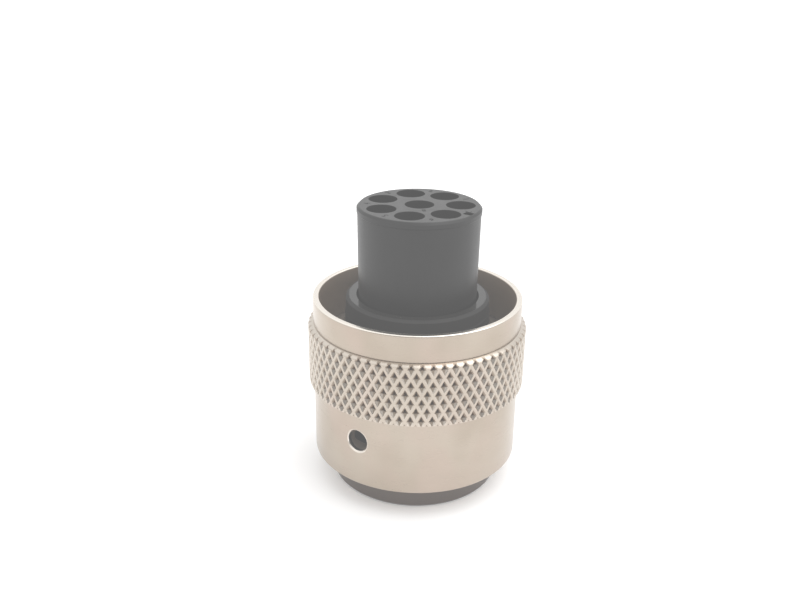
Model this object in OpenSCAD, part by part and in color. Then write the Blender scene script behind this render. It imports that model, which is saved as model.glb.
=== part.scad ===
// Plug of a push-pull circular connector, standing on its mating end with its wiring end up.
// Millimetres. The plug's axis is Z, and z = 0 is the mating end of the shell.
// A spring holds the knurled sleeve down, where its inner ramp keeps six balls pressed inwards
// into the groove of the mating shell. Pulling the sleeve up lets the balls out, and the plug comes off.

/* [Wiring insulator] */
// Diameter of the wiring insulator where it leaves the shell
insulator_d = 14.66; // [14.2:0.02:16]
// How far the insulator widens on each side towards its wiring face
insulator_draft = 0.13; // [0:0.01:0.2]
// How far the lip round the wiring face stands out of the side
lip_proud = 0.08; // [0.02:0.01:0.2]
// Height of that lip
lip_h = 0.8; // [0.4:0.1:1.5]
// Height of the wiring face over the rear end of the shell
insulator_stand = 11.4; // [8:0.1:14]
// Thickness of the flange that holds the insulator in the shell
flange_t = 1; // [0.7:0.05:1.4]
// How far that flange stands out of the shell's rear bore
flange_step = 0.7; // [0.5:0.05:0.9]

/* [Contacts] */
// Number of contacts in the ring round the centre one
ring_contacts = 7; // [5:1:7]
// Diameter of the circle that the ring of contacts stands on
contact_pcd = 9.9; // [9.6:0.05:10.2]
// Diameter of a wiring cavity at its mouth
cavity_d = 3.56; // [3.5:0.02:3.7]
// Diameter of a contact's body
contact_d = 2.4; // [2:0.05:2.5]
// Diameter of a contact's shoulder
shoulder_d = 3.05; // [2.8:0.05:3.1]
// Diameter of the mating pin that a socket contact takes
pin_d = 1.6; // [1.2:0.05:1.65]
// Length of the socket's bore
socket_depth = 6; // [4:0.1:7]
// Length of a contact behind its shoulder, with the crimp barrel
crimp_len = 12; // [9:0.1:14]
// Depth of the crimp barrel's bore
crimp_depth = 6.5; // [5:0.1:8]
// Length of the clip that holds a contact in its cavity
clip_len = 3; // [2:0.1:4]

/* [Mating end] */
// Depth of the front insulator's face inside the shell
face_recess = 3.2; // [2.8:0.1:4]
// Length of the front insulator
front_len = 7.3; // [6:0.1:8]
// Width of the ring space that takes the mating shell
mating_gap = 1.25; // [1.1:0.05:1.4]
// Depth of the pilot bore at the mouth of the shell
pilot_depth = 2.6; // [2:0.1:2.7]
// Width of the main polarising keyway
main_keyway_w = 2.4; // [1.8:0.1:3]
// Width of the four minor keyways
minor_keyway_w = 1.4; // [1:0.1:1.7]
// Length of the keyways from the mouth of the shell
keyway_len = 8.2; // [6:0.1:8.8]

/* [Shell] */
// Wall of the shell's rear tube, which takes the backshell's thread
rear_wall = 1.3; // [1:0.05:1.5]
// Wall of the shell's front tube, which holds the balls
front_wall = 1.1; // [1:0.05:1.3]
// Width of the land that holds the snap ring under the insulator's flange
ring_land = 0.7; // [0.6:0.05:0.9]
// How far the foot at the mating end stands out of the front tube
foot_step = 0.45; // [0.4:0.05:0.7]
// Width of the two guide keys that stop the sleeve turning
guide_key_w = 1.6; // [1:0.1:2.5]
// Length of the guide keys above the foot
guide_key_len = 3; // [2.4:0.1:3.2]

/* [Sleeve] */
// Height of the sleeve's lower edge over the mating end
sleeve_lift = 3.9; // [3.4:0.1:5]
// Height of the plain band under the knurl
plain_h = 9.15; // [8:0.05:11]
// Height of the knurled band
knurl_h = 8.3; // [6:0.1:10]
// Height of the plain rim over the knurl
rim_h = 2.95; // [2.5:0.05:5]
// Radial width of the spring's space, between the front tube and the sleeve
spring_space = 2.11; // [1.9:0.01:2.4]
// Wall of the sleeve round the spring
skirt_wall = 0.74; // [0.6:0.02:1]
// How far the sleeve is pulled to unlock the plug
sleeve_travel = 1.8; // [1.5:0.1:2]
// Diameter of the hole that the balls are loaded through
load_hole_d = 2.7; // [2.66:0.02:2.9]
// Height of that hole over the sleeve's lower edge
load_hole_h = 5.6; // [5.2:0.1:6]
// Angle of that hole from the front, clockwise seen from above
load_hole_turn = 31.7; // [20:0.1:40]

/* [Knurl] */
// Number of pits in one row round the sleeve
knurl_pits = 64; // [48:2:72]
// Height of the knurl's ridges over the plain bands
knurl_proud = 0.65; // [0.4:0.05:0.8]
// Depth of a pit under the ridges
pit_depth = 0.52; // [0.3:0.02:0.6]
// Angle of the ridges from the sleeve's axis
knurl_angle = 31; // [25:1:40]
// Share of a row that is cut off at each end of the band
knurl_end_cut = 0.25; // [0:0.05:0.4]
// Turn of the pits from the front
knurl_turn = -1.5; // [-2.8:0.1:2.8]

/* [Lock] */
// Diameter of a lock ball
ball_d = 2.4; // [2.2:0.05:2.5]
// How far a locked ball stands into the space for the mating shell
ball_catch = 0.6; // [0.45:0.05:0.65]
// Length of the sleeve spring with the sleeve down
spring_len = 3.95; // [3.8:0.05:4.4]
// Wire of the sleeve spring
spring_wire = 0.5; // [0.4:0.05:0.5]
// Turns of the sleeve spring
spring_turns = 3; // [2:0.5:3]
// Thickness of the spring washer
washer_t = 0.4; // [0.3:0.05:0.6]
// Thickness of the retaining ring and of the snap ring
ring_t = 0.55; // [0.4:0.05:0.7]
// Thickness of the seal at the bottom of the ring space
seal_t = 0.8; // [0.5:0.05:1]

/* [Hidden] */
fit = 0.05;
face_gap = 0.02;
slide_gap = 0.1;
ball_gap = 0.05;
entry_step = 0.2;
edge = 0.3;
fine_edge = 0.12;
round_fn = 96;
small_fn = 48;
balls = 6;

// radii, from the axis outwards
insulator_r = insulator_d / 2;
insulator_top_r = insulator_r + insulator_draft;
lip_r = insulator_top_r + lip_proud;
rear_bore_r = lip_r + 0.06;
thread_r = rear_bore_r + rear_wall;
flange_r = rear_bore_r + flange_step;
counterbore_r = flange_r + fit;
snap_groove_r = counterbore_r + ring_land - 0.15;
shell_bore_r = counterbore_r + ring_land;
pilot_r = shell_bore_r + 0.2;
face_r = shell_bore_r - mating_gap;
tube_r = shell_bore_r + front_wall;
foot_r = tube_r + foot_step;
land_r = tube_r + slide_gap;
skirt_r = tube_r + spring_space;
sleeve_r = skirt_r + skirt_wall;
ring_groove_r = tube_r - 0.35;
spring_r = (tube_r + skirt_r) / 2;

// sleeve
sleeve_len = plain_h + knurl_h + rim_h;
sleeve_top = sleeve_lift + sleeve_len;
shell_len = sleeve_top;
foot_h = sleeve_lift - slide_gap;
load_hole_z = sleeve_lift + load_hole_h;
load_hole_angle = 270 - load_hole_turn;

// lock: a ball moves out by its catch while the sleeve moves up by its travel
ball_z = load_hole_z + sleeve_travel + slide_gap;
ball_locked_r = shell_bore_r + ball_d / 2 - ball_catch;
ball_slot_d = ball_d + 2 * ball_gap;
ball_lip_d = ball_d - 0.15;
ball_angle = load_hole_angle + 180 / balls;
ramp_slope = ball_catch / sleeve_travel;
ramp_turn = atan(ramp_slope);
ramp_r = ball_locked_r + (ball_d / 2 + ball_gap) / cos(ramp_turn);
ramp_low_z = ball_z - sleeve_travel - ball_d / 2 * sin(ramp_turn) - 0.22;
relief_r = ramp_r + ramp_slope * (ball_z - ramp_low_z);
ramp_top_z = ball_z + (ramp_r - land_r) / ramp_slope;
spring_seat_z = ramp_top_z + 0.5;
spring_top_z = spring_seat_z + spring_len;
washer_z = spring_top_z + face_gap;
ring_z = washer_z + washer_t + fit;
shoulder_z = ring_z + ring_t + 0.35;

// insulator seat
web_z = ball_z + ball_d / 2 + 2.4;
snap_ring_z = web_z + 0.8;
flange_z = snap_ring_z + ring_t + 2 * face_gap;
flange_top_z = flange_z + flange_t;
counterbore_z = flange_top_z + face_gap;
split_z = face_recess + front_len;
wiring_face_z = shell_len + insulator_stand;

// contacts
contact_bore_d = contact_d + 2 * slide_gap;
pin_entry_r = pin_d / 2 + 0.2;
contact_z = face_recess + 1.1;
cavity_z = split_z + 2.5;
shoulder_bottom_z = cavity_z + face_gap;
shoulder_top_z = shoulder_bottom_z + 1;
contact_top_z = shoulder_top_z + crimp_len;
seat_r = cavity_d / 2 - entry_step;
entry_z = contact_top_z + 0.3;
contact_spots = concat(
    [[0, 0]],
    [for (i = [0:ring_contacts - 1]) polar(contact_pcd / 2, 360 * i / ring_contacts)]
);

// knurl: the ridges cross at the grid's even points, and a pit lies at each odd one
knurl_r = sleeve_r + knurl_proud;
pit_r = knurl_r - pit_depth;
knurl_cols = 2 * knurl_pits;
knurl_pitch = 2 * PI * knurl_r / knurl_pits;
knurl_rows = round(knurl_h / (knurl_pitch / 2 / tan(knurl_angle)) + 2 * knurl_end_cut);
knurl_row_h = knurl_h / (knurl_rows - 2 * knurl_end_cut);
knurl_z = sleeve_lift + plain_h;
knurl_core_r = sleeve_r - skirt_wall / 2;

function polar(r, a) = [r * cos(a), r * sin(a)];

// A solid of revolution from a profile of [radius, height] points.
module turned(profile, fn = round_fn) {
    rotate_extrude($fn = fn)
        polygon(profile);
}

// A flat ring, with an optional gap cut out of it as wide as the given angle.
module flat_ring(inner_r, outer_r, z, t, gap_angle = 0) {
    rotate([0, 0, gap_angle / 2])
        rotate_extrude(angle = 360 - gap_angle, $fn = round_fn)
            translate([inner_r, z])
                square([outer_r - inner_r, t]);
}

// A radial block that reaches from one radius to another, such as a key.
module radial_block(r1, r2, w, z, h, a) {
    rotate([0, 0, a])
        translate([r1, -w / 2, z])
            cube([r2 - r1, w, h]);
}

// Places its children at each contact's spot.
module at_contact(i) {
    translate([contact_spots[i].x, contact_spots[i].y, 0])
        children();
}

// The hole of one ball through the front tube, narrowed inside so that the ball can't drop out.
module ball_hole(a) {
    rotate([0, 0, a])
        translate([0, 0, ball_z])
            rotate([0, 90, 0]) {
                translate([0, 0, shell_bore_r - 1])
                    cylinder(h = front_wall + 2, d = ball_lip_d, $fn = small_fn);
                translate([0, 0, shell_bore_r])
                    cylinder(h = front_wall * 0.36, d1 = ball_lip_d, d2 = ball_slot_d, $fn = small_fn);
                translate([0, 0, shell_bore_r + front_wall * 0.36])
                    cylinder(h = front_wall + 1, d = ball_slot_d, $fn = small_fn);
            }
}

module plug_shell() {
    color([0.09, 0.09, 0.1])
        difference() {
            union() {
                turned([
                    [pilot_r + 0.2, 0],
                    [foot_r - edge, 0],
                    [foot_r, edge],
                    [foot_r, foot_h],
                    [tube_r, foot_h],
                    [tube_r, ring_z - face_gap],
                    [ring_groove_r, ring_z - face_gap],
                    [ring_groove_r, ring_z + ring_t + face_gap],
                    [tube_r, ring_z + ring_t + face_gap],
                    [tube_r, shoulder_z - fine_edge],
                    [tube_r - fine_edge, shoulder_z],
                    [thread_r, shoulder_z],
                    [thread_r, shell_len - edge],
                    [thread_r - edge, shell_len],
                    [rear_bore_r, shell_len],
                    [rear_bore_r, counterbore_z],
                    [counterbore_r, counterbore_z],
                    [counterbore_r, snap_ring_z + ring_t + face_gap],
                    [snap_groove_r, snap_ring_z + ring_t + face_gap],
                    [snap_groove_r, snap_ring_z - face_gap],
                    [counterbore_r, snap_ring_z - face_gap],
                    [counterbore_r, web_z],
                    [shell_bore_r, web_z],
                    [shell_bore_r, pilot_depth],
                    [pilot_r, pilot_depth],
                    [pilot_r, 0.2]
                ]);
                for (a = [0, 180])
                    radial_block(tube_r - 0.3, foot_r - fine_edge, guide_key_w, foot_h - 0.5, guide_key_len + 0.5, a);
            }
            for (i = [0:balls - 1])
                ball_hole(ball_angle + 360 * i / balls);
            radial_block(face_r + 0.2, shell_bore_r + front_wall / 2, main_keyway_w, -1, keyway_len + 1, 90);
            for (a = [165, 230, 300, 20])
                radial_block(face_r + 0.2, shell_bore_r + front_wall / 2, minor_keyway_w, -1, keyway_len + 1, a);
        }
}

// One point of the knurl: the ends lie low, and inside them ridges and pits take turns.
function knurl_point(i, j) =
    let (
        end_row = j == 0 || j == knurl_rows,
        crossing = (i + j) % 2 == 0,
        r = !end_row && crossing ? knurl_r : pit_r,
        row = min(max(j, knurl_end_cut), knurl_rows - knurl_end_cut),
        xy = polar(r, 360 * i / knurl_cols)
    )
    [xy.x, xy.y, knurl_z + knurl_row_h * (row - knurl_end_cut)];

// The knurled band, as a thick ring with its core inside the wall of the sleeve.
module knurl_band() {
    n = knurl_cols;
    m = knurl_rows;
    outer = [for (j = [0:m], i = [0:n - 1]) knurl_point(i, j)];
    core = [
        for (j = [0, m], i = [0:n - 1])
            let (xy = polar(knurl_core_r, 360 * i / n))
            [xy.x, xy.y, knurl_z + knurl_h * j / m]
    ];
    // each cell is split along its ridge, which joins the two crossings
    skin = [
        for (j = [0:m - 1], i = [0:n - 1])
            let (
                a = j * n + i,
                b = j * n + (i + 1) % n,
                c = (j + 1) * n + (i + 1) % n,
                d = (j + 1) * n + i,
                rising = (i + j) % 2 == 0
            )
            each (rising ? [[a, c, b], [a, d, c]] : [[a, d, b], [b, d, c]])
    ];
    low = (m + 1) * n;
    high = low + n;
    inside = [for (i = [0:n - 1]) [low + i, low + (i + 1) % n, high + (i + 1) % n, high + i]];
    floor_ring = [for (i = [0:n - 1]) [i, (i + 1) % n, low + (i + 1) % n, low + i]];
    top_ring = [for (i = [0:n - 1]) [m * n + (i + 1) % n, m * n + i, high + i, high + (i + 1) % n]];
    polyhedron(points = concat(outer, core), faces = concat(skin, inside, floor_ring, top_ring));
}

module coupling_sleeve() {
    color([0.74, 0.7, 0.64])
        difference() {
            union() {
                turned([
                    [land_r, sleeve_lift],
                    [sleeve_r - fine_edge, sleeve_lift],
                    [sleeve_r, sleeve_lift + fine_edge],
                    [sleeve_r, sleeve_top - fine_edge],
                    [sleeve_r - fine_edge, sleeve_top],
                    [skirt_r + fine_edge, sleeve_top],
                    [skirt_r, sleeve_top - fine_edge],
                    [skirt_r, spring_seat_z],
                    [land_r, spring_seat_z],
                    [land_r, ramp_top_z],
                    [relief_r, ramp_low_z],
                    [relief_r, ramp_low_z - 0.1],
                    [land_r, ramp_low_z - 0.1 - (relief_r - land_r)]
                ]);
                rotate([0, 0, knurl_turn])
                    knurl_band();
            }
            rotate([0, 0, load_hole_angle])
                translate([0, 0, load_hole_z])
                    rotate([0, 90, 0]) {
                        translate([0, 0, tube_r])
                            cylinder(h = sleeve_r, d = load_hole_d, $fn = small_fn);
                        translate([0, 0, sleeve_r - 0.35])
                            cylinder(h = 1, d1 = load_hole_d, d2 = load_hole_d + 2, $fn = small_fn);
                    }
            for (a = [0, 180])
                radial_block(
                    tube_r - 1, foot_r, guide_key_w + 2 * slide_gap,
                    sleeve_lift - 1, ramp_low_z - sleeve_lift + 0.9, a
                );
        }
}

// The sleeve spring: a round wire swept along a helix.
module sleeve_spring() {
    sides = 8;
    steps = 24 * spring_turns;
    z1 = spring_seat_z + face_gap + spring_wire / 2;
    z2 = spring_top_z - spring_wire / 2;
    points = [
        for (k = [0:steps], s = [0:sides - 1])
            let (
                r = spring_r + spring_wire / 2 * cos(360 * s / sides),
                xy = polar(r, 360 * spring_turns * k / steps)
            )
            [xy.x, xy.y, z1 + (z2 - z1) * k / steps + spring_wire / 2 * sin(360 * s / sides)]
    ];
    faces = concat(
        [[for (s = [0:sides - 1]) s]],
        [
            for (k = [0:steps - 1], s = [0:sides - 1])
                let (t = (s + 1) % sides)
                [k * sides + s, (k + 1) * sides + s, (k + 1) * sides + t, k * sides + t]
        ],
        [[for (s = [sides - 1:-1:0]) steps * sides + s]]
    );
    color([0.7, 0.7, 0.72])
        polyhedron(points = points, faces = faces, convexity = 6);
}

module spring_washer() {
    color([0.62, 0.62, 0.64])
        flat_ring(tube_r + fit, skirt_r - slide_gap, washer_z, washer_t);
}

module retaining_ring() {
    color([0.5, 0.5, 0.52])
        flat_ring(ring_groove_r + fit, tube_r + 0.8, ring_z, ring_t, 24);
}

module lock_ball(i) {
    xy = polar(ball_locked_r, ball_angle + 360 * i / balls);
    color([0.8, 0.8, 0.82])
        translate([xy.x, xy.y, ball_z])
            sphere(d = ball_d, $fn = small_fn);
}

module interface_seal() {
    color([0.2, 0.2, 0.2])
        turned([
            [face_r + fit, web_z - seal_t],
            [shell_bore_r - fit - 0.15, web_z - seal_t],
            [shell_bore_r - fit, web_z - seal_t + 0.15],
            [shell_bore_r - fit, web_z - face_gap],
            [face_r + fit, web_z - face_gap]
        ]);
}

module front_insulator() {
    color([0.08, 0.08, 0.08])
        difference() {
            turned([
                [0, face_recess],
                [face_r - 0.2, face_recess],
                [face_r, face_recess + 0.2],
                [face_r, split_z - face_gap],
                [0, split_z - face_gap]
            ]);
            for (i = [0:len(contact_spots) - 1])
                at_contact(i) {
                    translate([0, 0, face_recess - 1])
                        cylinder(h = 3, r = pin_entry_r, $fn = small_fn);
                    translate([0, 0, face_recess])
                        cylinder(h = 0.4, r1 = pin_entry_r + 0.4, r2 = pin_entry_r, $fn = small_fn);
                    translate([0, 0, contact_z - slide_gap])
                        cylinder(h = front_len, d = contact_bore_d, $fn = small_fn);
                }
        }
}

module rear_insulator() {
    color([0.08, 0.08, 0.08])
        difference() {
            turned([
                [0, split_z],
                [face_r, split_z],
                [face_r, flange_z],
                [flange_r, flange_z],
                [flange_r, flange_top_z],
                [insulator_r, flange_top_z],
                [insulator_r, shell_len],
                [insulator_top_r, wiring_face_z - lip_h - lip_proud],
                [lip_r, wiring_face_z - lip_h],
                [lip_r, wiring_face_z - edge],
                [lip_r - edge, wiring_face_z],
                [0, wiring_face_z]
            ]);
            for (i = [0:len(contact_spots) - 1])
                at_contact(i) {
                    translate([0, 0, split_z - 1])
                        cylinder(h = cavity_z - split_z + 2, d = contact_bore_d, $fn = small_fn);
                    translate([0, 0, cavity_z])
                        cylinder(h = entry_z - cavity_z + 1, r = seat_r, $fn = small_fn);
                    // the mouth is wider, for the seal round the wire
                    translate([0, 0, entry_z])
                        cylinder(h = wiring_face_z - entry_z + 1, d = cavity_d, $fn = small_fn);
                }
            // index mark, a small square recess near the edge of the wiring face
            radial_block(lip_r - 1.4, lip_r - 0.3, 0.95, wiring_face_z - 0.35, 1, -31.6);
        }
}

module insulator_snap_ring() {
    color([0.6, 0.6, 0.62])
        flat_ring(face_r + 0.15, snap_groove_r - fit, snap_ring_z, ring_t, 40);
}

module socket_contact(i) {
    body_r = contact_d / 2;
    crimp_r = contact_d / 2 + 0.1;
    color([0.85, 0.68, 0.3])
        at_contact(i)
            difference() {
                turned([
                    [pin_d / 2, contact_z],
                    [body_r - fine_edge, contact_z],
                    [body_r, contact_z + fine_edge],
                    [body_r, shoulder_bottom_z],
                    [shoulder_d / 2, shoulder_bottom_z],
                    [shoulder_d / 2, shoulder_top_z],
                    [crimp_r, shoulder_top_z],
                    [crimp_r, contact_top_z],
                    [crimp_r - 0.45, contact_top_z],
                    [crimp_r - 0.45, contact_top_z - crimp_depth],
                    [0, contact_top_z - crimp_depth - 0.4],
                    [0, contact_z + socket_depth],
                    [pin_d / 2, contact_z + socket_depth - 0.4]
                ], small_fn);
                // slots that make the socket springy
                translate([-contact_d, -0.15, contact_z - 1])
                    cube([2 * contact_d, 0.3, socket_depth * 0.75 + 1]);
                // sight hole of the crimp barrel
                translate([0, 0, contact_top_z - crimp_depth + 0.8])
                    rotate([0, 90, 0])
                        cylinder(h = contact_d, d = 0.8, $fn = 24);
            }
}

module retention_clip(i) {
    z1 = shoulder_top_z + fit;
    z2 = z1 + clip_len;
    outer_r = seat_r - 0.03;
    color([0.8, 0.62, 0.35])
        at_contact(i)
            difference() {
                turned([
                    [contact_d / 2 + 0.16, z1],
                    [contact_d / 2 + 0.26, z1],
                    [outer_r, z1 + 1.2],
                    [outer_r, z2],
                    [outer_r - 0.18, z2],
                    [outer_r - 0.18, z1 + 1.25]
                ], small_fn);
                translate([0, -0.2, z1 - 1])
                    cube([cavity_d, 0.4, clip_len + 2]);
            }
}

plug_shell();
coupling_sleeve();
sleeve_spring();
spring_washer();
retaining_ring();
for (i = [1:balls])
    lock_ball(i - 1);
interface_seal();
front_insulator();
rear_insulator();
insulator_snap_ring();
for (i = [1:len(contact_spots)])
    socket_contact(i - 1);
for (i = [1:len(contact_spots)])
    retention_clip(i - 1);
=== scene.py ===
"""Push-pull circular connector plug: its looks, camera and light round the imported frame."""
import math

import bmesh
import bpy
import numpy as np
from mathutils import Matrix, Vector


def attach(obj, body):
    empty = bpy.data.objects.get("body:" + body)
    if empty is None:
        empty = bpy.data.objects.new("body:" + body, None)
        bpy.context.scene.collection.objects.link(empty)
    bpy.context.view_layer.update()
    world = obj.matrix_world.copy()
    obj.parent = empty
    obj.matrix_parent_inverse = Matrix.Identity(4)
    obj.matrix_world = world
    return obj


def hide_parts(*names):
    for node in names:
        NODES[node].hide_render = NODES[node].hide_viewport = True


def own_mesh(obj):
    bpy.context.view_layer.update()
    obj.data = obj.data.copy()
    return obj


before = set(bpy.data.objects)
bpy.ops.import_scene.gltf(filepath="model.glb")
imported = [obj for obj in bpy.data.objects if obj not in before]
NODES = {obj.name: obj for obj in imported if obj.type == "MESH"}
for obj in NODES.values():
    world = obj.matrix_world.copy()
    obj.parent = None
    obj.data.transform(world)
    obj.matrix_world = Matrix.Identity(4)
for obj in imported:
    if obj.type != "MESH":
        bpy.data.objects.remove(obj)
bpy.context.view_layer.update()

MM = 0.001

# ---------------------------------------------------------------- sizes, in millimetres
# The sleeve's travel, and the sizes of its solid.
SLEEVE_LOW = 3.9
SLEEVE_TOP = 24.3
SLEEVE_R = 13.0
SKIRT_R = 12.26
LAND_R = 10.25
SEAT_Z = 14.053
RAMP_TOP_Z = 13.553
RAMP_LOW_Z = 9.0005
RELIEF_R = 11.767
RELIEF_H = 0.1
# Where the relief under the ramp has run back to the land's radius.
SLOPE_LOW_Z = RAMP_LOW_Z - RELIEF_H - (RELIEF_R - LAND_R)
SLOT_HALF = 0.9
SLOT_R = 10.6
SLOT_CENTRES = (0.0, math.pi)
SLOT_HALF_ANGLE = math.asin(SLOT_HALF / LAND_R)
HOLE_ANGLE = math.radians(238.3)
HOLE_Z = 9.5
HOLE_R = 1.35
HOLE_CHAMFER = 0.16

# The visible sleeve, fitted to the real one. Its lower edge and its knurl lie a little lower than the
# solid's, and it has 67 pits round it where the solid has 64.
LIP_LOW = 3.64
LIP_R = 10.75
LOW_EDGE_R = 0.16
RIM_OUTER_R = 0.20
RIM_INNER_R = 0.16
KNURL_LOW = 12.96
KNURL_R = 13.65
PIT_DEPTH = 0.48
KNURL_CELLS = 134
ROW_H = 1.107
FIRST_ROW = 0.3
LAST_ROW = 7.5
KNURL_TOP = KNURL_LOW + (LAST_ROW - FIRST_ROW) * ROW_H
KNURL_TURN = math.radians(-0.9)
# The share of a cell that is flat land, and the share of a flank that is rounded where it leaves the land.
LAND_SHARE = 0.2
ROUND_SHARE = 0.12
# At its ends the knurl is turned off on a slope, which starts this far outside the plain bands.
END_STEP = 0.03
END_SLOPE = 2.6
# The thin groove between the knurl and the rim: its radius, and its heights over the knurl.
GROOVE_R = SLEEVE_R - 0.045
GROOVE_LOW = 0.02
GROOVE_TOP = 0.06
GROOVE_OUT = 0.10

# Shares of the dark brown painted shade in a pit's upper flank and in the groove, and of the pale painted
# highlight on the knurl's edges, the hole's chamfer and the rim's top.
GROOVE_SHADE = 0.35
FLANK_SHADE = 0.3
LAND_HIGHLIGHT = 0.14
FLANK_HIGHLIGHT = 0.3
END_HIGHLIGHT = 0.32
HOLE_HIGHLIGHT = 0.7
RIM_HIGHLIGHT = 0.9
RIM_HIGHLIGHT_H = 0.10

# How finely the sleeve's skin is cut.
SUB = 6
SEAM = 0.02
LOW_BAND_RING_Z = 12.6
RIM_RING_DROP = 0.9
SKIRT_RING_Z = 20.0
WINDOW_COLUMNS = 23
WINDOW_HALF_Z = 2.4
WINDOW_LOW = HOLE_Z - WINDOW_HALF_Z
WINDOW_TOP = HOLE_Z + WINDOW_HALF_Z
OUTER_STRIPS = 6
OUTER_LEVELS = [WINDOW_LOW + (WINDOW_TOP - WINDOW_LOW) * k / OUTER_STRIPS for k in range(OUTER_STRIPS + 1)]
INNER_LEVELS = [
    WINDOW_TOP, 11.0, 10.0, RAMP_LOW_Z, RAMP_LOW_Z - RELIEF_H, 7.9,
    SLOPE_LOW_Z + SLOT_R - LAND_R, SLOPE_LOW_Z, WINDOW_LOW,
]
# The steps of a window's side in each strip. Both windows have as many in all, so that their rings match.
WINDOW_STEPS = 24
OUTER_STEPS = [4] * OUTER_STRIPS
INNER_STEPS = [3, 4, 5, 1, 4, 2, 2, 3]
PATCH_RINGS = 7
PATCH_CROWDING = 1.3
SLEEVE_SMOOTH = 34
# Points of a mesh that lie closer than this, in metres, are one point.
SLEEVE_MERGE = 2e-7
WOUND_MERGE = 1e-9
DIGIT_MERGE = 1e-8

# The spring, between its seat in the sleeve and its washer.
SPRING_TOP = 18.003
SPRING_GAP = 0.02
SPRING_WIRE = 0.5
SPRING_TURNS = 3
SPRING_INNER_R = 10.15
SPRING_R = (SPRING_INNER_R + SKIRT_R) / 2
SPRING_STEPS = 48
SPRING_SIDES = 12
SPRING_SMOOTH = 50

# The rear thread. Its crests stand 0.12 over the solid's tube, whose radius is 8.9.
THREAD_LOW, THREAD_TOP = 19.75, 22.6
THREAD_PITCH = 0.65
THREAD_ROOT_R, THREAD_CREST_R = 8.87, 9.02
THREAD_STEPS = 72
THREAD_SMOOTH = 20
# Half the ridge's foot as a share of the pitch, its crest as a share of its foot, and how it runs out.
THREAD_HALF = 0.42
THREAD_CREST = 0.2
RUN_OUT_STEPS = 18
RUN_OUT_SHARE = 0.05

# The wiring face and its numbers.
FACE_Z = 35.7
RING_CAVITIES = 7
DIGIT_SIZE = 1.15
DIGIT_RISE = 0.03
DIGIT_R = 6.25
DIGIT_SMOOTH = 30
CENTRE_DIGIT_R = 2.5
CENTRE_DIGIT_ANGLE = math.radians(-78)

# Where one look of a material fades into another: radii from the axis, and heights.
SKIRT_FADE = (12.35 * MM, 12.5 * MM)
FOOT_BOUNCE_FADE = (3.6 * MM, 4.0 * MM)
TUBE_EDGE_FADE = (8.4 * MM, 8.6 * MM)
TUBE_HEIGHT_FADE = (20.0 * MM, 20.1 * MM)
FACE_FADE = (35.60 * MM, 35.68 * MM)

# ---------------------------------------------------------------- camera
# The picture's view: 22 degrees above the horizon, with the plug right of the centre and leaning right.
FOCAL_MM = 40.0
SENSOR_MM = 36.0
CAMERA_DISTANCE = 109.9 * MM
CAMERA_HEIGHT = 23.29 * MM
CAMERA_ELEVATION = math.radians(22.25)
CAMERA_PAN = math.radians(1.39)
CAMERA_ROLL = math.radians(1.25)


def make_camera():
    """The one camera. It looks at the axis, and is then panned and rolled a little."""
    e = CAMERA_ELEVATION
    forward = Vector((0, math.cos(e), -math.sin(e)))
    right = Vector((1, 0, 0))
    place = Vector((0, 0, CAMERA_HEIGHT)) - forward * CAMERA_DISTANCE
    up = right.cross(forward)
    s, c = math.sin(CAMERA_PAN), math.cos(CAMERA_PAN)
    forward, right = c * forward - s * right, c * right + s * forward
    s, c = math.sin(CAMERA_ROLL), math.cos(CAMERA_ROLL)
    right, up = c * right + s * up, c * up - s * right
    data = bpy.data.cameras.new("camera")
    data.lens = FOCAL_MM
    data.sensor_width = SENSOR_MM
    data.clip_start = 0.005
    data.clip_end = 20
    camera = bpy.data.objects.new("camera", data)
    bpy.context.scene.collection.objects.link(camera)
    turn = Matrix((right, up, -forward)).transposed()
    camera.matrix_world = Matrix.Translation(place) @ turn.to_4x4()
    bpy.context.scene.camera = camera


# ---------------------------------------------------------------- shader helpers
class Tree:
    """A node tree, with short calls that make and join its nodes."""

    def __init__(self, tree):
        self.tree = tree

    def add(self, kind, **settings):
        node = self.tree.nodes.new(kind)
        for key, value in settings.items():
            setattr(node, key, value)
        return node

    def put(self, socket, value):
        if isinstance(value, bpy.types.NodeSocket):
            self.tree.links.new(value, socket)
        else:
            socket.default_value = value

    def split(self, vector):
        node = self.add("ShaderNodeSeparateXYZ")
        self.put(node.inputs["Vector"], vector)
        return node.outputs

    def remap(self, value, low, high, to_low, to_high, kind="LINEAR"):
        node = self.add("ShaderNodeMapRange", clamp=True, interpolation_type=kind)
        self.put(node.inputs["Value"], value)
        for key, number in (("From Min", low), ("From Max", high), ("To Min", to_low), ("To Max", to_high)):
            node.inputs[key].default_value = number
        return node.outputs["Result"]

    def math(self, kind, a, b=0.0):
        node = self.add("ShaderNodeMath", operation=kind)
        self.put(node.inputs[0], a)
        self.put(node.inputs[1], b)
        return node.outputs[0]


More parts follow.
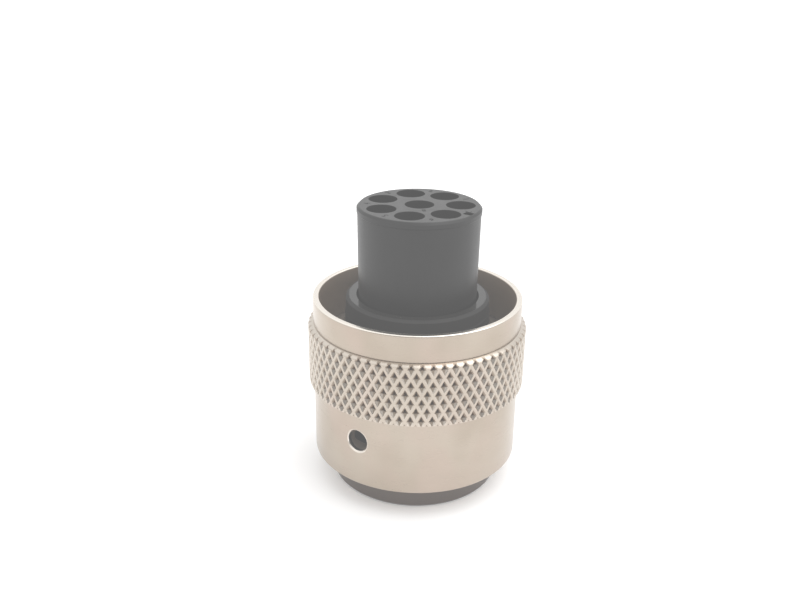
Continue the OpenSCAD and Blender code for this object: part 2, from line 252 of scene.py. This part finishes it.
class Nodes(Tree):
    """A material's node tree, round one principled shader."""

    def __init__(self, name):
        self.material = bpy.data.materials.new(name)
        self.material.use_nodes = True
        super().__init__(self.material.node_tree)
        self.tree.nodes.clear()
        self.out = self.add("ShaderNodeOutputMaterial")
        self.shader = self.add("ShaderNodeBsdfPrincipled")
        self.tree.links.new(self.shader.outputs["BSDF"], self.out.inputs["Surface"])
        self.place = self.add("ShaderNodeTexCoord").outputs["Object"]

    def stretch(self, scale):
        node = self.add("ShaderNodeMapping")
        self.put(node.inputs["Vector"], self.place)
        node.inputs["Scale"].default_value = scale
        return node.outputs["Vector"]

    def noise(self, scale, detail=3.0, rough=0.55, place=None):
        node = self.add("ShaderNodeTexNoise")
        self.put(node.inputs["Vector"], place or self.place)
        node.inputs["Scale"].default_value = scale
        node.inputs["Detail"].default_value = detail
        node.inputs["Roughness"].default_value = rough
        return node.outputs["Fac"]

    def from_axis(self):
        place = self.split(self.place)
        square = [self.math("MULTIPLY", place[k], place[k]) for k in (0, 1)]
        return self.math("SQRT", self.math("ADD", *square))

    def height(self):
        return self.split(self.place)[2]

    def mix(self, factor, a, b):
        node = self.add("ShaderNodeMix", data_type="RGBA")
        self.put(node.inputs["Factor"], factor)
        self.put(node.inputs["A"], a)
        self.put(node.inputs["B"], b)
        return node.outputs["Result"]

    def clouded(self, clouds, a, b):
        """Two colours that take turns in soft clouds."""
        return self.mix(self.remap(clouds, 0.3, 0.7, 0, 1), a, b)

    def attribute(self, name):
        node = self.add("ShaderNodeAttribute", attribute_name=name)
        return node.outputs["Fac"]

    def bump(self, height, strength, distance, normal=None):
        node = self.add("ShaderNodeBump")
        self.put(node.inputs["Height"], height)
        node.inputs["Strength"].default_value = strength
        node.inputs["Distance"].default_value = distance
        if normal:
            self.put(node.inputs["Normal"], normal)
        return node.outputs["Normal"]

    def finish(self, color, rough, normal, metal=0.0, **fixed):
        varied = {"Base Color": color, "Roughness": rough, "Normal": normal, "Metallic": metal}
        for key, value in varied.items():
            self.put(self.shader.inputs[key], value)
        for key, value in fixed.items():
            self.shader.inputs[key.replace("_", " ")].default_value = value
        return self.material


def rgb(r, g, b):
    return (r, g, b, 1.0)


# ---------------------------------------------------------------- materials
def nickel_plate():
    """Satin nickel plate on turned brass: warm, softly clouded, with fine turning lines, painted shade in the
    knurl's hollows and painted highlights on its edges.
    """
    n = Nodes("nickel_plate")
    deep, pale, rosy = rgb(0.40, 0.335, 0.268), rgb(0.455, 0.39, 0.32), rgb(0.46, 0.365, 0.305)
    wall, shade_brown, bright = rgb(0.72, 0.60, 0.49), rgb(0.080, 0.040, 0.015), rgb(0.95, 0.90, 0.82)
    clouds = n.noise(130, 2.0, 0.5)
    tint = n.noise(210, 1.0, 0.5, n.stretch((1, 1, 0.6)))
    specks = n.noise(2600, 2.0, 0.6)
    color = n.mix(n.remap(clouds, 0.38, 0.62, 0, 1), deep, pale)
    color = n.mix(n.remap(tint, 0.45, 0.65, 0, 0.5), color, rosy)
    inside = n.remap(n.from_axis(), *SKIRT_FADE, 1.0, 0.0)
    color = n.mix(inside, color, wall)
    pit, shine = n.attribute("pit"), n.attribute("shine")
    # Painted shade: the knurl's upper flanks and the groove darken towards brown.
    color = n.mix(n.remap(pit, 0.15, 0.55, 0, 0.95), color, shade_brown)
    # Painted highlight: crests, lower flanks, the knurl's ends, the rim's top and the hole's chamfer lighten
    # towards a pale tint.
    color = n.mix(n.remap(shine, 0.0, 1.0, 0, 0.9), color, bright)
    lines = n.noise(1.0, 2.0, 0.6, n.stretch((300, 300, 9000)))
    rough = n.math("ADD", n.remap(lines, 0.3, 0.7, 0.21, 0.28), n.remap(pit, 0.2, 0.6, 0.0, 0.2))
    rough = n.math("ADD", rough, n.math("MULTIPLY", inside, 0.22))
    normal = n.bump(lines, 0.06, 0.00002)
    normal = n.bump(specks, 0.015, 0.00002, normal)
    return n.finish(color, rough, normal, 1.0)


def black_anodised():
    """Black anodised, fine-turned shell: glossy, with faint lines, a little dust, a matt tube edge, and
    painted bounce light on its foot.
    """
    n = Nodes("black_anodised")
    deep, pale = rgb(0.012, 0.0115, 0.011), rgb(0.02, 0.019, 0.018)
    dusty, foot_bounce_light = rgb(0.30, 0.29, 0.27), rgb(0.088, 0.068, 0.058)
    lines = n.noise(1.0, 2.0, 0.6, n.stretch((400, 400, 8000)))
    clouds = n.noise(240, 3.0)
    dust = n.remap(n.noise(5200, 1.0), 0.74, 0.82, 0, 0.35)
    color = n.mix(dust, n.clouded(clouds, deep, pale), dusty)
    # Painted light: below the sleeve the foot takes a warm, lighter tint, which stands in for light bounced
    # off the nickel sleeve.
    color = n.mix(n.remap(n.height(), *FOOT_BOUNCE_FADE, 1, 0), color, foot_bounce_light)
    outer = n.remap(n.from_axis(), *TUBE_EDGE_FADE, 0, 1)
    edge = n.math("MULTIPLY", outer, n.remap(n.height(), *TUBE_HEIGHT_FADE, 0, 1))
    rough = n.math("ADD", n.remap(lines, 0.3, 0.7, 0.08, 0.15), n.math("MULTIPLY", edge, 0.6))
    normal = n.bump(lines, 0.12, 0.00002)
    return n.finish(color, rough, normal, Specular_IOR_Level=0.36)


def moulded_plastic(name, deep, pale, gloss, face):
    """Black moulded plastic: even, with a fine grain, softly clouded, and another colour on the top face,
    which on the insulator is painted light.
    """
    n = Nodes(name)
    grain = n.noise(3800, 2.0, 0.6)
    clouds = n.noise(190, 3.0)
    flow = n.noise(1.0, 2.0, 0.5, n.stretch((500, 500, 60)))
    color = n.clouded(clouds, deep, pale)
    # Above the face's edge the colour turns to the face's; where that one is lighter, it is painted light on
    # the face that looks up.
    color = n.mix(n.remap(n.height(), *FACE_FADE, 0, 1), color, face)
    rough = n.math("ADD", n.remap(flow, 0.3, 0.7, gloss, gloss + 0.08), n.remap(grain, 0.3, 0.7, 0, 0.05))
    normal = n.bump(grain, 0.10, 0.00003)
    return n.finish(color, rough, normal, Specular_IOR_Level=0.34)


def seal_rubber():
    """Dull black rubber with a fine grain."""
    n = Nodes("seal_rubber")
    grain = n.noise(5200, 3.0)
    color = n.clouded(grain, rgb(0.030, 0.030, 0.031), rgb(0.050, 0.049, 0.048))
    return n.finish(color, n.remap(grain, 0.3, 0.7, 0.62, 0.8), n.bump(grain, 0.3, 0.00003))


def bright_metal(name, deep, pale, rough, stretch):
    """A plain bright metal with fine drawn or stamped lines along its working direction."""
    n = Nodes(name)
    lines = n.noise(1.0, 3.0, 0.6, n.stretch(stretch))
    clouds = n.noise(420, 2.0)
    color = n.clouded(clouds, deep, pale)
    return n.finish(color, n.remap(lines, 0.3, 0.7, *rough), n.bump(lines, 0.12, 0.00001), 1.0)


def pale_floor():
    """A plain white floor. It gives off a little light, so that only the contact shadow stays on it."""
    n = Nodes("pale_floor")
    grain = n.noise(900, 4.0)
    color = n.clouded(grain, rgb(0.925, 0.925, 0.925), rgb(0.94, 0.94, 0.94))
    n.finish(color, 0.7, n.bump(grain, 0.05, 0.0001), Emission_Strength=0.14)
    n.put(n.shader.inputs["Emission Color"], rgb(1, 1, 1))
    return n.material


# ---------------------------------------------------------------- meshes
def mesh_of(name, points, faces, smooth, merge, **shading):
    """A mesh from points in millimetres: closed, turned outwards, and smooth up to an angle in degrees."""
    mesh = bpy.data.meshes.new(name)
    mesh.from_pydata([(x * MM, y * MM, z * MM) for x, y, z in points], [], faces)
    for key, values in shading.items():
        layer = mesh.attributes.new(key, "FLOAT", "POINT")
        layer.data.foreach_set("value", np.array(values, np.float32))
    tidy_mesh(mesh, smooth, merge)
    return mesh


def tidy_mesh(mesh, smooth, merge):
    """Merges double points, turns the faces outwards, and shades smooth up to an angle."""
    bm = bmesh.new()
    bm.from_mesh(mesh)
    bmesh.ops.remove_doubles(bm, verts=bm.verts, dist=merge)
    bmesh.ops.dissolve_degenerate(bm, edges=bm.edges, dist=merge)
    bmesh.ops.recalc_face_normals(bm, faces=bm.faces)
    bm.to_mesh(mesh)
    bm.free()
    mesh.shade_smooth()
    mesh.set_sharp_from_angle(angle=math.radians(smooth))


def wound_mesh(name, sections, smooth):
    """A closed mesh through a row of sections, each with as many points, and capped at both ends."""
    sides = len(sections[0])
    points = [point for section in sections for point in section]
    faces = []
    for k in range(len(sections) - 1):
        for q in range(sides):
            a, b = sides * k + q, sides * k + (q + 1) % sides
            faces.append((a, b, b + sides, a + sides))
    last = sides * (len(sections) - 1)
    faces += [tuple(range(sides)), tuple(reversed(range(last, last + sides)))]
    return mesh_of(name, points, faces, smooth, WOUND_MERGE)


def round_axis(r, angle, z):
    return (r * math.cos(angle), r * math.sin(angle), z)


def wrap(angle):
    """The same angle, from minus half a turn to half a turn."""
    return (angle + math.pi) % (2 * math.pi) - math.pi


def arc(cx, cz, r, a0, a1, steps):
    """Points of an arc in the profile plane, angles in degrees."""
    points = []
    for k in range(steps + 1):
        a = math.radians(a0 + (a1 - a0) * k / steps)
        points.append((cx + r * math.cos(a), cz + r * math.sin(a)))
    return points


# ---------------------------------------------------------------- the sleeve, with its knurl
def knurl_depth(cell_u, cell_v):
    """A point of the knurl: its depth as a share of a pit's, and its shares of painted shade and painted
    highlight.
    """
    i, j = math.floor(cell_u + 1e-9), math.floor(cell_v + 1e-9)
    a, b = cell_u - i, cell_v - j
    even = (i + j) % 2 == 0
    from_crest = abs(a - b) if even else abs(a + b - 1)
    upper = a - b if even else 1 - a - b
    share = max(0.0, (from_crest - LAND_SHARE) / (1 - LAND_SHARE))
    rounded = share < ROUND_SHARE
    depth = share * share / (2 * ROUND_SHARE) if rounded else share - ROUND_SHARE / 2
    # Painted shade on a pit's upper flank, which faces down; painted highlight on the land and the lower
    # flank, which face up.
    if upper > 1e-6 and from_crest > LAND_SHARE:
        return depth, max(depth, FLANK_SHADE), 0.0
    return depth, 0.0, LAND_HIGHLIGHT if from_crest < LAND_SHARE else FLANK_HIGHLIGHT


def slot_at(angle):
    """The guide slot that an angle lies inside, as its centre and neither side, or None."""
    for centre in SLOT_CENTRES:
        if abs(wrap(angle - centre)) < SLOT_HALF_ANGLE:
            return (centre, 0)
    return None


def sleeve_columns():
    """The columns of the skin, each an angle and its guide slot. Each side of a slot has two at one angle."""
    count = KNURL_CELLS * SUB
    angles = sorted((KNURL_TURN + 2 * math.pi * k / count) % (2 * math.pi) for k in range(count))
    columns = [(angle, slot_at(angle)) for angle in angles]
    for centre in SLOT_CENTRES:
        for side in (-1, 1):
            angle = (centre + side * SLOT_HALF_ANGLE) % (2 * math.pi)
            at = sum(1 for column in columns if column[0] < angle)
            outside, inside = (angle, None), (angle, (centre, side))
            columns[at:at] = [outside, inside] if side < 0 else [inside, outside]
    return columns


def wall_point(column, r, z, slotted):
    """The point of a ring at one column. Inside a guide slot it moves out to the slot's floor."""
    angle, slot = column
    if not (slot and slotted and r < SLOT_R):
        return round_axis(r, angle, z)
    centre, side = slot
    across = side * SLOT_HALF if side else SLOT_R * math.tan(wrap(angle - centre))
    across = max(-SLOT_HALF, min(SLOT_HALF, across))
    c, s = math.cos(centre), math.sin(centre)
    return (SLOT_R * c - across * s, SLOT_R * s + across * c, z)


def inner_radius(z):
    """The radius inside the sleeve: the land over the balls, the ramp, the relief, and the land again."""
    if z >= RAMP_TOP_Z:
        return LAND_R
    if z >= RAMP_LOW_Z:
        return LAND_R + (RAMP_TOP_Z - z) * (RELIEF_R - LAND_R) / (RAMP_TOP_Z - RAMP_LOW_Z)
    if z >= RAMP_LOW_Z - RELIEF_H:
        return RELIEF_R
    return max(LAND_R, LAND_R + z - SLOPE_LOW_Z)


class Window:
    """A gap left in the rings round the load hole: its first ring, and its side's steps in each strip."""

    def __init__(self, first, steps):
        self.first = first
        self.last = first + len(steps)
        self.steps = steps

    def steps_at(self, ring):
        """The steps of the window's side from a ring to the next, or 0 outside the window."""
        return self.steps[ring - self.first] if self.first <= ring < self.last else 0


def sleeve_profile():
    """The skin's rings and its two windows. The rings go from the lower edge up outside, and down inside.

    Each is a radius, a height, a row and whether the guide slots cut it. Only the knurl's have a row."""
    def plain(points, slotted=False):
        return [(r, z, None, slotted) for r, z in points]

    rings = plain([(LIP_R, LIP_LOW)])
    rings += plain(arc(SLEEVE_R - LOW_EDGE_R, LIP_LOW + LOW_EDGE_R, LOW_EDGE_R, -90, 0, 5))
    outer = Window(len(rings), OUTER_STEPS)
    rings += plain([(SLEEVE_R, z) for z in OUTER_LEVELS])
    rings += plain([(SLEEVE_R, LOW_BAND_RING_Z), (SLEEVE_R, KNURL_LOW - SEAM)])
    rows = [FIRST_ROW, FIRST_ROW + SEAM]
    rows += [k / SUB for k in range(int(FIRST_ROW * SUB) + 1, math.ceil(LAST_ROW * SUB))]
    rows += [LAST_ROW - SEAM, LAST_ROW]
    rings += [(None, KNURL_LOW + ROW_H * (row - FIRST_ROW), row, False) for row in rows]
    rings += plain([(GROOVE_R, KNURL_TOP + GROOVE_LOW), (GROOVE_R, KNURL_TOP + GROOVE_TOP)])
    rings += plain([(SLEEVE_R, KNURL_TOP + GROOVE_OUT), (SLEEVE_R, SLEEVE_TOP - RIM_RING_DROP)])
    rings += plain(arc(SLEEVE_R - RIM_OUTER_R, SLEEVE_TOP - RIM_OUTER_R, RIM_OUTER_R, 0, 90, 5))
    rings += plain(arc(SKIRT_R + RIM_INNER_R, SLEEVE_TOP - RIM_INNER_R, RIM_INNER_R, 90, 180, 4))
    rings += plain([(SKIRT_R, SKIRT_RING_Z), (SKIRT_R, SEAT_Z), (LAND_R, SEAT_Z), (LAND_R, RAMP_TOP_Z)])
    inner = Window(len(rings), INNER_STEPS)
    rings += plain([(inner_radius(z), z) for z in INNER_LEVELS], True)
    rings += plain([(LAND_R, SLEEVE_LOW)], True)
    rings += plain([(LIP_R, SLEEVE_LOW)])
    return rings, outer, inner


def from_hole(point):
    """Where a point lies from the hole's centre: along the outer wall, and up."""
    x, y, z = point
    return wrap(math.atan2(y, x) - HOLE_ANGLE) * SLEEVE_R, z - HOLE_Z


def bore_point(turn):
    """A point of the hole's own wall, where the chamfer ends."""
    x, y, z = SLEEVE_R - HOLE_CHAMFER, HOLE_R * math.cos(turn), HOLE_R * math.sin(turn)
    c, s = math.cos(HOLE_ANGLE), math.sin(HOLE_ANGLE)
    return (x * c - y * s, x * s + y * c, HOLE_Z + z)


def chamfer_rim(turn):
    """The hole's outer edge, where its 45-degree chamfer meets the round wall: along the wall, and up."""
    rho = HOLE_R + HOLE_CHAMFER
    for _ in range(4):
        x = math.sqrt(SLEEVE_R ** 2 - (rho * math.cos(turn)) ** 2)
        rho = HOLE_R + x - (SLEEVE_R - HOLE_CHAMFER)
    return math.asin(rho * math.cos(turn) / SLEEVE_R) * SLEEVE_R, rho * math.sin(turn)


def inner_rim(turn):
    """The hole's inner edge, where it meets the wall inside: along the wall, and up."""
    z = HOLE_R * math.sin(turn)
    r = inner_radius(HOLE_Z + z)
    return math.asin(HOLE_R * math.cos(turn) / r) * SLEEVE_R, z


class Sleeve:
    """The visible coupling sleeve: one closed skin of rings, with the load hole let into it."""

    def __init__(self):
        self.points, self.pits, self.shines, self.faces = [], [], [], []
        self.side_points = {}
        self.columns = sleeve_columns()
        self.rings, self.outer, self.inner = sleeve_profile()
        at_hole = min(range(len(self.columns)), key=lambda c: abs(self.columns[c][0] - HOLE_ANGLE))
        self.left, self.right = at_hole - WINDOW_COLUMNS, at_hole + WINDOW_COLUMNS
        self.grid = [[self.ring_point(ring, column) for column in self.columns] for ring in self.rings]
        self.weave()
        self.bore()

    def add(self, point, pit=0.0, shine=0.0):
        self.points.append(point)
        self.pits.append(pit)
        self.shines.append(shine)
        return len(self.points) - 1

    def ring_point(self, ring, column):
        r, z, row, slotted = ring
        if row is None:
            # Painted shade in the groove under the rim, and a painted highlight along the rim's top.
            pit = GROOVE_SHADE if r == GROOVE_R else 0.0
            shine = RIM_HIGHLIGHT if z > SLEEVE_TOP - RIM_HIGHLIGHT_H else 0.0
            return self.add(wall_point(column, r, z, slotted), pit, shine)
        depth, pit, shine = knurl_depth((column[0] - KNURL_TURN) / (2 * math.pi) * KNURL_CELLS, row)
        knurl_r = KNURL_R - PIT_DEPTH * depth
        from_end = max(min(z - KNURL_LOW, KNURL_TOP - z), 0.0)
        r = min(knurl_r, SLEEVE_R + END_STEP + from_end * END_SLOPE)
        # On the knurl's sloped ends the painted shade gives way to a painted highlight.
        if r < knurl_r - 1e-6:
            pit, shine = 0.0, END_HIGHLIGHT
        return self.add(wall_point(column, r, z, False), pit, shine)

    def weave(self):
        """Joins each ring to the next with faces, but for the two windows."""
        for k in range(len(self.rings)):
            above = (k + 1) % len(self.rings)
            steps = self.outer.steps_at(k) or self.inner.steps_at(k)
            knurled = self.rings[k][2] is not None and self.rings[above][2] is not None
            for c in range(len(self.columns)):
                if steps and self.left <= c < self.right:
                    continue
                after = (c + 1) % len(self.columns)
                low = [self.grid[k][c], self.grid[k][after]]
                high = [self.grid[above][after], self.grid[above][c]]
                if knurled:
                    self.split_along_ridge(k, c, *low, *high)
                    continue
                left_side = self.side(k, c + 1) if steps and after == self.left else []
                right_side = self.side(k, c)[::-1] if steps and c == self.right else []
                self.faces.append(tuple(low + left_side + high + right_side))

    def split_along_ridge(self, k, c, a, b, c2, d):
        """Two triangles for one patch of the knurl, cut along the way its ridge runs."""
        u = (self.columns[c][0] + 1e-6 - KNURL_TURN) / (2 * math.pi) * KNURL_CELLS
        v = (self.rings[k][2] + self.rings[k + 1][2]) / 2
        rising = (math.floor(u) + math.floor(v)) % 2 == 0
        self.faces += [(a, b, c2), (a, c2, d)] if rising else [(a, b, d), (b, c2, d)]

    def side(self, k, c):
        """The extra points from ring k to the next, at a column that bounds a window."""
        if (k, c) not in self.side_points:
            steps = self.outer.steps_at(k) or self.inner.steps_at(k)
            (r0, z0, _, _), (r1, z1, _, _) = self.rings[k], self.rings[k + 1]
            made = []
            for q in range(1, steps):
                r, z = r0 + (r1 - r0) * q / steps, z0 + (z1 - z0) * q / steps
                made.append(self.add(round_axis(r, self.columns[c][0], z)))
            self.side_points[(k, c)] = made
        return self.side_points[(k, c)]

    def loop(self, window):
        """The points round a window, from its left corner along its first ring."""
        points = [self.grid[window.first][c] for c in range(self.left, self.right)]
        for k in range(window.first, window.last):
            points += [self.grid[k][self.right]] + self.side(k, self.right)
        points += [self.grid[window.last][c] for c in range(self.right, self.left, -1)]
        for k in range(window.last - 1, window.first - 1, -1):
            points += [self.grid[k + 1][self.left]] + self.side(k, self.left)[::-1]
        return points

    def join(self, ring_a, ring_b):
        for k in range(len(ring_a)):
            after = (k + 1) % len(ring_a)
            self.faces.append((ring_a[k], ring_a[after], ring_b[after], ring_b[k]))

    def patch(self, loop, radius_at, rim, rim_painted_highlight):
        """Rings from a window's loop in to the hole's rim, on the wall's surface. Returns the last."""
        flat = [from_hole(self.points[p]) for p in loop]
        before = loop
        for k in range(1, PATCH_RINGS + 1):
            share = 1 - (1 - k / PATCH_RINGS) ** PATCH_CROWDING
            # The hole's chamfer edge gets a painted highlight.
            shine = rim_painted_highlight if k == PATCH_RINGS else 0.0
            ring = []
            for y0, z0 in flat:
                y1, z1 = rim(math.atan2(z0, y0))
                y, z = y0 + (y1 - y0) * share, z0 + (z1 - z0) * share
                place = round_axis(radius_at(HOLE_Z + z), HOLE_ANGLE + y / SLEEVE_R, HOLE_Z + z)
                ring.append(self.add(place, 0.0, shine))
            self.join(before, ring)
            before = ring
        return before

    def bore(self):
        """Fills the two windows round the load hole, and joins them through the wall."""
        outer_loop, inner_loop = self.loop(self.outer), self.loop(self.inner)
        flat = [from_hole(self.points[p]) for p in outer_loop]
        # The chamfer round the hole carries a painted highlight.
        rim = self.patch(outer_loop, lambda z: SLEEVE_R, chamfer_rim, HOLE_HIGHLIGHT)
        throat = [self.add(bore_point(math.atan2(z, y)), 0.0, HOLE_HIGHLIGHT) for y, z in flat]
        self.join(rim, throat)
        inner_rim_ring = self.patch(inner_loop, inner_radius, inner_rim, 0.0)
        # The inner loop runs the other way in height, so it is turned round before the bore joins the two.
        count = len(inner_rim_ring)
        start = 4 * WINDOW_COLUMNS + WINDOW_STEPS
        self.join(throat, [inner_rim_ring[(start - k) % count] for k in range(count)])


def build_sleeve():
    sleeve = Sleeve()
    return mesh_of("coupling_sleeve_knurled", sleeve.points, sleeve.faces, SLEEVE_SMOOTH, SLEEVE_MERGE,
                   pit=sleeve.pits, shine=sleeve.shines)


# ---------------------------------------------------------------- the other pieces
def build_thread():
    """The fine rear thread: one ridge wound round the shell's tube, with both ends run out."""
    total = int((THREAD_TOP - THREAD_LOW) / THREAD_PITCH * THREAD_STEPS)
    sections = []
    for k in range(total + 1):
        angle = 2 * math.pi * k / THREAD_STEPS
        z = THREAD_LOW + THREAD_PITCH * k / THREAD_STEPS
        grown = max(min(1.0, k / RUN_OUT_STEPS, (total - k) / RUN_OUT_STEPS), RUN_OUT_SHARE)
        half = THREAD_HALF * THREAD_PITCH * grown
        crest = THREAD_ROOT_R + (THREAD_CREST_R - THREAD_ROOT_R) * grown
        outline = [(THREAD_ROOT_R, -half), (crest, -half * THREAD_CREST)]
        outline += [(crest, half * THREAD_CREST), (THREAD_ROOT_R, half)]
        sections.append([round_axis(r, angle, z + dz) for r, dz in outline])
    return wound_mesh("rear_thread", sections, THREAD_SMOOTH)


def build_spring():
    """The sleeve spring: a round wire wound along a helix."""
    total = SPRING_TURNS * SPRING_STEPS
    low = SEAT_Z + SPRING_GAP + SPRING_WIRE / 2
    rise = SPRING_TOP - SPRING_WIRE / 2 - low
    sections = []
    for k in range(total + 1):
        angle = 2 * math.pi * k / SPRING_STEPS
        section = []
        for q in range(SPRING_SIDES):
            turn = 2 * math.pi * q / SPRING_SIDES
            r = SPRING_R + SPRING_WIRE / 2 * math.cos(turn)
            section.append(round_axis(r, angle, low + rise * k / total + SPRING_WIRE / 2 * math.sin(turn)))
        sections.append(section)
    return wound_mesh("spring_coil", sections, SPRING_SMOOTH)


def build_digit(text, angle, r):
    """A small plain digit standing on the wiring face, its foot towards the axis."""
    curve = bpy.data.curves.new("digit", "FONT")
    curve.body = text
    curve.size = DIGIT_SIZE * MM
    curve.extrude = 0.5 * DIGIT_RISE * MM
    curve.resolution_u = 3
    curve.align_x, curve.align_y = "CENTER", "CENTER"
    holder = bpy.data.objects.new("digit", curve)
    bpy.context.scene.collection.objects.link(holder)
    bpy.context.view_layer.update()
    mesh = bpy.data.meshes.new_from_object(holder.evaluated_get(bpy.context.evaluated_depsgraph_get()))
    bpy.data.objects.remove(holder)
    bpy.data.curves.remove(curve)
    place = Matrix.Translation([size * MM for size in round_axis(r, angle, FACE_Z)])
    mesh.transform(place @ Matrix.Rotation(angle - math.pi / 2, 4, "Z"))
    tidy_mesh(mesh, DIGIT_SMOOTH, DIGIT_MERGE)
    mesh.name = "digit_" + text
    return mesh


def add_piece(name, mesh, material, body, slot_name, *replaced):
    """Puts a piece on its body, with its material slot and the nodes that it stands for. The slot name is not
    used.
    """
    piece = bpy.data.objects.new(name, mesh)
    bpy.context.scene.collection.objects.link(piece)
    mesh.materials.append(material)
    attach(piece, body)
    if replaced:
        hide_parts(*replaced)
    return piece


def dress(node, material):
    """Gives a CAD node its material."""
    slots = NODES[node].material_slots
    for k in range(len(slots)):
        slots[k].material = material


# ---------------------------------------------------------------- light and floor
# Stray light lifts the picture's blacks to a mid grey, here by a share of full white.
VEIL = 0.12
# The room's light at eye level and overhead, and how much of it the camera's side lacks.
ROOM_LIGHT = 1.02
OVERHEAD_LIGHT = 1.3
FRONT_SHADE = 0.75
LAMP_ENERGY = 1.0
LAMP_ANGLE = math.radians(60)
LAMP_DIRECTION = Vector((-0.62, 0.10, -1.0))


def make_floor():
    bpy.ops.mesh.primitive_grid_add(x_subdivisions=8, y_subdivisions=8, size=6, location=(0, 1.5, 0))
    floor = bpy.context.active_object
    floor.name = "floor"
    floor.data.materials.append(pale_floor())


def studio_world():
    """White all round to the eye. Its light is stronger overhead, and weaker on the camera's side."""
    world = bpy.data.worlds.new("studio")
    world.use_nodes = True
    sky = Tree(world.node_tree)
    background = sky.tree.nodes["Background"]
    x, y, z = sky.split(sky.add("ShaderNodeTexCoord").outputs["Generated"])
    overhead = sky.remap(z, 0.35, 0.95, ROOM_LIGHT, OVERHEAD_LIGHT, "SMOOTHSTEP")
    ahead = sky.remap(y, -1.0, -0.45, 1, 0, "SMOOTHSTEP")
    front = sky.math("MULTIPLY", ahead, sky.remap(z, 0.15, 0.65, 1, 0, "SMOOTHSTEP"))
    light = sky.math("SUBTRACT", overhead, sky.math("MULTIPLY", front, FRONT_SHADE))
    seen = sky.add("ShaderNodeLightPath").outputs["Is Camera Ray"]
    light = sky.math("MAXIMUM", light, sky.math("MULTIPLY", seen, ROOM_LIGHT))
    sky.put(background.inputs["Strength"], light)
    sky.put(background.inputs["Color"], rgb(1, 1, 1))
    return world


def make_light():
    """A white studio, one broad soft lamp from the upper right, and washed-out blacks."""
    scene = bpy.context.scene
    scene.world = studio_world()
    data = bpy.data.lights.new("soft_lamp", "SUN")
    data.angle = LAMP_ANGLE
    data.energy = LAMP_ENERGY
    lamp = bpy.data.objects.new("soft_lamp", data)
    scene.collection.objects.link(lamp)
    lamp.rotation_euler = LAMP_DIRECTION.to_track_quat("-Z", "Y").to_euler()
    view = scene.view_settings
    view.view_transform = "Standard"
    view.use_curve_mapping = True
    view.curve_mapping.black_level = (-VEIL, -VEIL, -VEIL)
    view.curve_mapping.update()


# ---------------------------------------------------------------- the whole
def main():
    make_camera()
    make_light()
    make_floor()

    nickel = nickel_plate()
    # The last colour, lighter than the rest, is painted light on the insulator's top face.
    plastic = moulded_plastic("black_thermoset", rgb(0.004, 0.004, 0.0042), rgb(0.007, 0.007, 0.0073), 0.36,
                              rgb(0.034, 0.034, 0.034))
    marking = moulded_plastic("raised_marks", rgb(0.003, 0.003, 0.003), rgb(0.005, 0.005, 0.005), 0.7,
                              rgb(0.004, 0.004, 0.004))
    matt = moulded_plastic("matt_thread", rgb(0.003, 0.003, 0.003), rgb(0.006, 0.006, 0.006), 0.6,
                           rgb(0.006, 0.006, 0.006))
    spring = bright_metal("spring_wire", rgb(0.50, 0.50, 0.51), rgb(0.60, 0.60, 0.60),
                          (0.22, 0.34), (3000, 3000, 3000))
    ring = bright_metal("ring_steel", rgb(0.11, 0.105, 0.10), rgb(0.16, 0.155, 0.15),
                        (0.38, 0.5), (3500, 500, 500))
    ball = bright_metal("ball_steel", rgb(0.66, 0.66, 0.68), rgb(0.74, 0.74, 0.75),
                        (0.08, 0.14), (900, 900, 900))
    gold = bright_metal("gold_plate", rgb(0.80, 0.58, 0.24), rgb(0.88, 0.68, 0.34),
                        (0.18, 0.28), (700, 700, 6000))
    copper = bright_metal("clip_alloy", rgb(0.66, 0.44, 0.27), rgb(0.74, 0.52, 0.34),
                          (0.28, 0.40), (700, 700, 5000))

    finish_of = {
        "plug_shell": black_anodised(), "coupling_sleeve": nickel, "sleeve_spring": spring,
        "spring_washer": ring, "retaining_ring": ring, "insulator_snap_ring": ring,
        "interface_seal": seal_rubber(), "front_insulator": plastic, "rear_insulator": plastic,
        "lock_ball": ball, "socket_contact": gold, "retention_clip": copper,
    }
    for name in NODES:
        # Repeated nodes end in a number, and share one finish.
        dress(name, finish_of[name.rstrip("_0123456789")])

    add_piece("sleeve_knurled", build_sleeve(), nickel, "sleeve", "sleeve_nickel", "coupling_sleeve")

    coil = add_piece("spring_coil", build_spring(), spring, "plug", "spring_steel", "sleeve_spring")
    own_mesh(coil)
    add_piece("rear_thread", build_thread(), matt, "plug", "shell_black")
    for k in range(RING_CAVITIES):
        mesh = build_digit(str(k + 1), (k + 0.5) * 2 * math.pi / RING_CAVITIES, DIGIT_R)
        add_piece("digit_" + str(k + 1), mesh, marking, "plug", "insulator_plastic")
    centre_digit = build_digit("8", CENTRE_DIGIT_ANGLE, CENTRE_DIGIT_R)
    add_piece("digit_8", centre_digit, marking, "plug", "insulator_plastic")


main()
